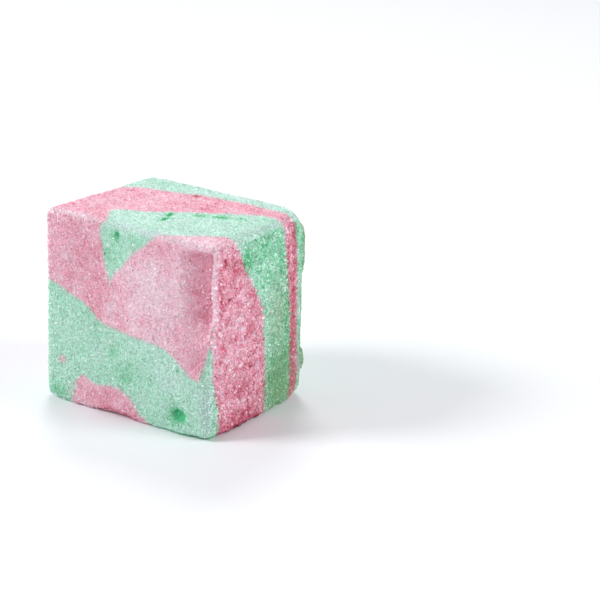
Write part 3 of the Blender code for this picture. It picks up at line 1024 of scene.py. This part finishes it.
rough = grain_noise(tree, millimetres, 0.35, offset=7.0)
rough = weighed(tree, FOAM_ROUGHNESS, rough, ROUGHNESS_SPREAD)
tree.links.new(rough, shader.inputs["Roughness"])
shader.inputs["Subsurface Weight"].default_value = 0.35
shader.inputs["Subsurface Radius"].default_value = (1.0, 0.55, 0.6)
shader.inputs["Subsurface Scale"].default_value = LIGHT_REACH

bumps = weighed(tree, 0.0, grain_noise(tree, millimetres, 0.3, offset=1.0), 0.5)
bump = {"Height": bumps, "Strength": 0.7, "Distance": BUMP_HEIGHT}
tree.links.new(put(tree, "ShaderNodeBump", bump).outputs[0], shader.inputs["Normal"])
foam.data.materials.append(foam_finish)

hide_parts("marshmallow")
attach(foam, "root")
print("foam finish:", len(tree.nodes), "nodes")

# %% [markdown]
# ## Sugar
# All sides but the lowest are coated, with two or three thousand grains of sugar to the square
# centimetre. Particles would be easy to scatter, but they vanish when a model is exported. So
# each grain is a small closed mesh, and all the grains of a coat are joined in one piece. NumPy
# turns one crystal into thousands: each has its own size, its own turn and its own slightly
# crooked corners, and sits half sunk in the foam. One grain in each square of a loose grid
# covers the side evenly, without the clumps and gaps of plain chance.

# %% Two kinds of grain
CUBE_CORNERS = np.array(
    [[right, back, top] for top in (-1, 1) for back in (-1, 1) for right in (-1, 1)]
) / 2
CUBE_FACES = ((0, 2, 3, 1), (4, 5, 7, 6), (0, 1, 5, 4), (2, 6, 7, 3), (0, 4, 6, 2), (1, 3, 7, 5))
SHARD_CORNERS = np.array([[1, 1, 1], [1, -1, -1], [-1, 1, -1], [-1, -1, 1]]) * 0.42
SHARD_FACES = ((0, 1, 2), (0, 3, 1), (0, 2, 3), (1, 3, 2))
GRAIN_SHAPES = {
    "crystal": (CUBE_CORNERS, np.array(CUBE_FACES)),
    "dust": (SHARD_CORNERS, np.array(SHARD_FACES)),
}
print("faces of a grain:", {kind: len(faces) for kind, (_, faces) in GRAIN_SHAPES.items()})


# %% Reading the net between its points
def between_points(values, side, spots):
    """Values of the net's points, read at places across and up a side."""
    table, axes, _ = SIDES[side]
    grid = values[table]
    steps = spots / BLOCK[list(axes)] * (np.array(table.shape) - 1)
    start = np.clip(steps.astype(int), 0, np.array(table.shape) - 2)
    across, up = (steps - start).T
    if grid.ndim == 3:
        across, up = across[:, None], up[:, None]
    i, j = start.T
    lower = grid[i, j] * (1 - across) + grid[i + 1, j] * across
    upper = grid[i, j + 1] * (1 - across) + grid[i + 1, j + 1] * across
    return lower * (1 - up) + upper * up


def loose_spots(side, spacing, chance):
    """One place at random in each square of a grid laid on a side."""
    size = BLOCK[list(SIDES[side][1])]
    counts = np.round(size / spacing).astype(int)
    squares = np.argwhere(np.ones(counts, dtype=bool))
    return (squares + chance.uniform(0.0, 1.0, squares.shape)) / counts * size


def random_turns(count, chance):
    """Rotation matrices that turn every way alike, from random quaternions."""
    quaternion = chance.normal(size=(count, 4))
    a, b, c, d = (quaternion / np.linalg.norm(quaternion, axis=1)[:, None]).T
    rows = [
        [a * a + b * b - c * c - d * d, 2 * (b * c - a * d), 2 * (b * d + a * c)],
        [2 * (b * c + a * d), a * a - b * b + c * c - d * d, 2 * (c * d - a * b)],
        [2 * (b * d - a * c), 2 * (c * d + a * b), a * a - b * b - c * c + d * d],
    ]
    return np.array(rows).transpose(2, 0, 1)


def grain_map(count, faces):
    """A flat map in which each grain has a small square of its own."""
    per_row = math.ceil(math.sqrt(count))
    number = np.arange(count)
    square = np.stack([number % per_row, number // per_row], axis=1)
    within = np.array([(0.2, 0.2), (0.8, 0.2), (0.8, 0.8), (0.2, 0.8)])[: faces.shape[1]]
    return (square[:, None, :] + np.tile(within, (len(faces), 1))) / per_row


front_middle = BLOCK[[0, 2]][None] / 2
print("tone at the front's middle:", between_points(tone, "front", front_middle).round(2))


# %% [markdown]
# ## A coat of sugar
# A grain's colour comes from the foam it lies on. Near a border the toss of a coin decides, so
# pink and mint grains mingle there over a few tenths of a millimetre. Most grains are close to
# the foam's own colour. A few are nearly white and brighter, partly as white sugar and partly as
# painted glints, which is what makes the coat look frosty.
# Each grain also carries a number that multiplies its colour, because crystals that face
# different ways catch more or less light. Crystals of one form, scattered as they are here,
# would look too much alike without it.

# %% Scatter one coat of sugar
BORDER_MINGLE = 0.24
BORDER_BLEND = 0.42
# the few white grains are partly white sugar and partly painted glints: paler, brighter and a
# little larger
FLASH = 0.4  # how much paler the few white grains are
FLASH_LIGHT = 0.12  # how much brighter
FLASH_GROWTH = 0.1  # and how much larger
LIGHT_SPREAD = 0.14  # how much grains differ in how brightly they catch the light
SINK = 0.45  # how much deeper the few grains are that dye has soaked
SUNK_SHARE = 0.03
OPEN_LEAST = 0.45  # pits shaded less than this keep all their grains
OPEN_MOST = 1.1
CALM_SMALLER = 0.35  # how much smaller and how much more even grains are on dense foam
CALM_EVENNESS = 0.6
LIFT_LOW = -0.35
LIFT_HIGH = 0.15


def sugar_coat(name, side, kind, spacing, sizes, paler, spread, flashes, seed):
    """A joined mesh of sugar grains on one side of the foam."""
    chance = np.random.default_rng(seed)
    spots = loose_spots(side, spacing, chance)
    open_here = between_points(shade, side, spots)
    spots = spots[open_here < chance.uniform(OPEN_LEAST, OPEN_MOST, len(spots))]
    count = len(spots)
    corners, faces = GRAIN_SHAPES[kind]
    calm_here = between_points(calm, side, spots)
    flash = chance.uniform(0.0, 1.0, count) < flashes
    size = chance.triangular(sizes[0], sizes[1], sizes[2], count)
    size *= (1.0 - CALM_SMALLER * calm_here) * (1.0 + FLASH_GROWTH * flash)
    stretch = chance.uniform(0.7, 1.15, (count, 1, 3)) * size[:, None, None]
    crooked = corners + chance.uniform(-0.12, 0.12, (count, *corners.shape))
    grains = np.einsum("nij,nkj->nki", random_turns(count, chance), crooked * stretch)
    outward_here = between_points(outward, side, spots)
    outward_here /= np.linalg.norm(outward_here, axis=1)[:, None]
    lift = size * chance.uniform(LIFT_LOW, LIFT_HIGH, count)
    middle = between_points(final_places, side, spots) + outward_here * lift[:, None]
    grains += middle[:, None, :]
    grains[:, :, 2] = np.maximum(grains[:, :, 2], 0.01)

    mint_here = between_points(mint_distance, side, spots)
    mint_here += chance.normal(0.0, BORDER_MINGLE, count)
    is_mint = ramp(mint_here, -BORDER_BLEND, BORDER_BLEND)
    tone_here = between_points(tone, side, spots) + paler
    spread_here = spread * (1.0 - CALM_EVENNESS * calm_here) * (1.0 - MINT_EVENNESS * is_mint)
    tone_here += spread_here * chance.normal(0.0, 1.0, count) + FLASH * flash
    tone_here -= SINK * (chance.uniform(0.0, 1.0, count) < SUNK_SHARE)
    # bare skin and painted shadow, as on the foam below
    skin_and_shadow_here = between_points(bare_skin_and_shadow, side, spots)
    light = np.exp(LIGHT_SPREAD * chance.normal(0.0, 1.0, count)) + FLASH_LIGHT * flash

    first = np.arange(count)[:, None, None] * len(corners)
    mesh_faces = (faces[None] + first).reshape(-1, faces.shape[1])
    coat = mesh_piece(name, grains.reshape(-1, 3), mesh_faces)
    numbers = {"mint": is_mint, "tone": tone_here, "skin_and_shadow": skin_and_shadow_here, "light": light}
    numbers = {label: np.repeat(values, len(corners)) for label, values in numbers.items()}
    carry_numbers(coat.data, numbers)
    flat_map = coat.data.uv_layers.new(name="OFBake")
    flat_map.data.foreach_set("uv", grain_map(count, faces).astype(np.float32).ravel())
    coat.data.materials.append(sugar_finish)
    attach(coat, "root")
    print(name, "grains:", count, "triangles:", count * len(faces) * (faces.shape[1] - 2))


print("grains at a border mingle over, mm:", BORDER_MINGLE)

# %% [markdown]
# ## The sugar's finish
# A grain of sugar is clear, with flat glossy sides. On the foam it looks like the foam, only
# paler, and now and then a side mirrors the lamp and flashes. The shader keeps the foam's
# colours and is smoother than the foam.

# %% Make the sugar's finish
sugar_finish, tree, shader = new_finish("sugar_grains")
colour = foam_colour(tree, point_number(tree, "mint"), point_number(tree, "tone"))
# the dull green: bare tray skin, and a painted shadow on the right side
skin_and_shadow = weighed(tree, 0.0, point_number(tree, "skin_and_shadow"), BARE_SHARE)
colour = mixed_colours(tree, skin_and_shadow, colour, LIME_SKIN_AND_SHADOW)
catching = {0: colour, "Scale": point_number(tree, "light")}
lit = put(tree, "ShaderNodeVectorMath", catching, operation="SCALE").outputs[0]
held = put(tree, "ShaderNodeVectorMath", {0: lit, 1: (1.0, 1.0, 1.0)}, operation="MINIMUM")
tree.links.new(held.outputs[0], shader.inputs["Base Color"])
shader.inputs["Roughness"].default_value = 0.34
shader.inputs["IOR"].default_value = 1.54
print("sugar finish:", len(tree.nodes), "nodes")

# %% [markdown]
# ## A coat for each side
# The two dusted skins and the top carry fine dust. The two sides that were cut and rolled in
# coarser sugar carry larger crystals too. Each coat has a seed of its own, so the same grains
# come out every time, and one coat can be changed while the others stay as they are.

# %% Scatter the coats
DUST_SIZES = (0.14, 0.24, 0.46)  # mm: the smallest, the most usual and the largest
FINE_SIZES = (0.14, 0.22, 0.42)
SUGAR_SIZES = (0.16, 0.27, 0.52)
COATS = {
    # name: side, kind, spacing, sizes, how much paler, spread of tone, share of flashes, seed
    "front_dusting": ("front", "dust", 0.19, DUST_SIZES, 0.02, 0.08, 0.08, 11),
    "back_dusting": ("back", "dust", 0.24, DUST_SIZES, 0.02, 0.12, 0.08, 12),
    "top_sugar": ("top", "dust", 0.18, FINE_SIZES, 0.05, 0.08, 0.04, 13),
    "right_sugar": ("right", "crystal", 0.29, SUGAR_SIZES, 0.02, 0.10, 0.09, 14),
    "left_sugar": ("left", "crystal", 0.36, DUST_SIZES, 0.0, 0.12, 0.09, 15),
    "right_dust": ("right", "dust", 0.22, DUST_SIZES, 0.04, 0.12, 0.09, 16),
    "left_dust": ("left", "dust", 0.30, DUST_SIZES, 0.04, 0.14, 0.09, 17),
}
for name, how in COATS.items():
    sugar_coat(name, *how)

# %% [markdown]
# ## The floor
# The sweet stands on a plain white table that has no edge in sight. A sheet that curves up at
# the back would hide the edge too, but only from one side. So the table is flat and large, and
# far from the sweet it starts to glow, until it is as white as the room behind it.

# %% The floor
FLOOR_HALF = 4000.0
FLOOR_WHITE = screen_colour(238, 240, 244)
GLOW_START = 0.5  # metres from the sweet at which the table starts to glow
GLOW_FULL = 1.6

floor_corners = FLOOR_HALF * np.array([(-1, -1, 0), (1, -1, 0), (1, 1, 0), (-1, 1, 0)])
floor = mesh_piece("table_top", floor_corners, np.array([(0, 1, 2, 3)]))
floor.location.z = cad_low.z
floor_finish, tree, shader = new_finish("white_table")
shader.inputs["Base Color"].default_value = FLOOR_WHITE
shader.inputs["Roughness"].default_value = 0.6
place = {0: put(tree, "ShaderNodeTexCoord").outputs["Object"]}
from_sweet = put(tree, "ShaderNodeVectorMath", place, operation="LENGTH").outputs["Value"]
glow = stretched(tree, from_sweet, GLOW_START, GLOW_FULL, interpolation_type="SMOOTHSTEP")
tree.links.new(glow, shader.inputs["Emission Strength"])
shader.inputs["Emission Color"].default_value = (1.0, 1.0, 1.0, 1.0)
floor.data.materials.append(floor_finish)
print("the table glows from", GLOW_START, "m on")

# %% [markdown]
# ## The light
# The room is bright and white. A soft lamp high at the left and a little in front is the
# strongest, so the top is brightest and the right side is in soft shade. A weaker lamp at the
# right and one behind open up the shadows, as white walls would. The room looks white to the
# camera but gives less light than that, or else the lamps would shape nothing.

# %% Room and lamps
ROOM_LIGHT = 0.40
LAMPS = {
    # name: direction it shines from, distance, size, strength
    "left_lamp": ((-0.60, -0.52, 0.60), 0.9, 0.35, 5.6),
    "right_lamp": ((0.80, 0.25, 0.55), 0.9, 0.35, 3.5),
    "back_lamp": ((-0.40, 0.50, 0.77), 0.9, 0.35, 2.6),
}

room = bpy.data.worlds.new("white_room")
room.use_nodes = True
room_nodes = room.node_tree
background = room_nodes.nodes["Background"]
background.inputs["Color"].default_value = (1.0, 1.0, 1.0, 1.0)
seen = put(room_nodes, "ShaderNodeLightPath").outputs["Is Camera Ray"]
strength = stretched(room_nodes, seen, 0.0, 1.0, ROOM_LIGHT, 1.0)
room_nodes.links.new(strength, background.inputs["Strength"])
bpy.context.scene.world = room

block_middle = (cad_low + cad_high) / 2
for name, (direction, distance, size, power) in LAMPS.items():
    lamp_data = bpy.data.lights.new(name, "AREA")
    lamp_data.shape = "DISK"
    lamp_data.size = size
    lamp_data.energy = power
    lamp = put_in_scene(name, lamp_data)
    toward = Vector(direction).normalized()
    lamp.location = block_middle + toward * distance
    lamp.rotation_euler = toward.to_track_quat("Z", "Y").to_euler()
bpy.context.scene.view_settings.view_transform = "Standard"
print("lamps:", ", ".join(LAMPS))

# %% [markdown]
# ## The camera
# A long lens from some way off keeps the block's edges nearly parallel, as in a picture of
# food for sale. A short lens close by would be simpler to frame, but it would swell the near
# corner. The camera is placed by two angles and a distance from the point it aims at.

# %% Aim the camera
CAMERA_AIM = Vector((-0.0124, 0.0553, 0.0))
CAMERA_AROUND = math.radians(35.94)
CAMERA_UP = math.radians(19.8)
CAMERA_DISTANCE = 0.377
CAMERA_LENS = 105.0

camera_data = bpy.data.cameras.new("camera")
camera_data.lens = CAMERA_LENS
camera_data.sensor_width = 36.0
camera_data.clip_start = 0.01
camera = put_in_scene("camera", camera_data)
view_from = Vector((
    math.sin(CAMERA_AROUND) * math.cos(CAMERA_UP),
    -math.cos(CAMERA_AROUND) * math.cos(CAMERA_UP),
    math.sin(CAMERA_UP),
))
camera.location = CAMERA_AIM + view_from * CAMERA_DISTANCE
camera.rotation_euler = view_from.to_track_quat("Z", "Y").to_euler()
bpy.context.scene.camera = camera
print("camera at, mm:", [round(c * 1000, 1) for c in camera.location])
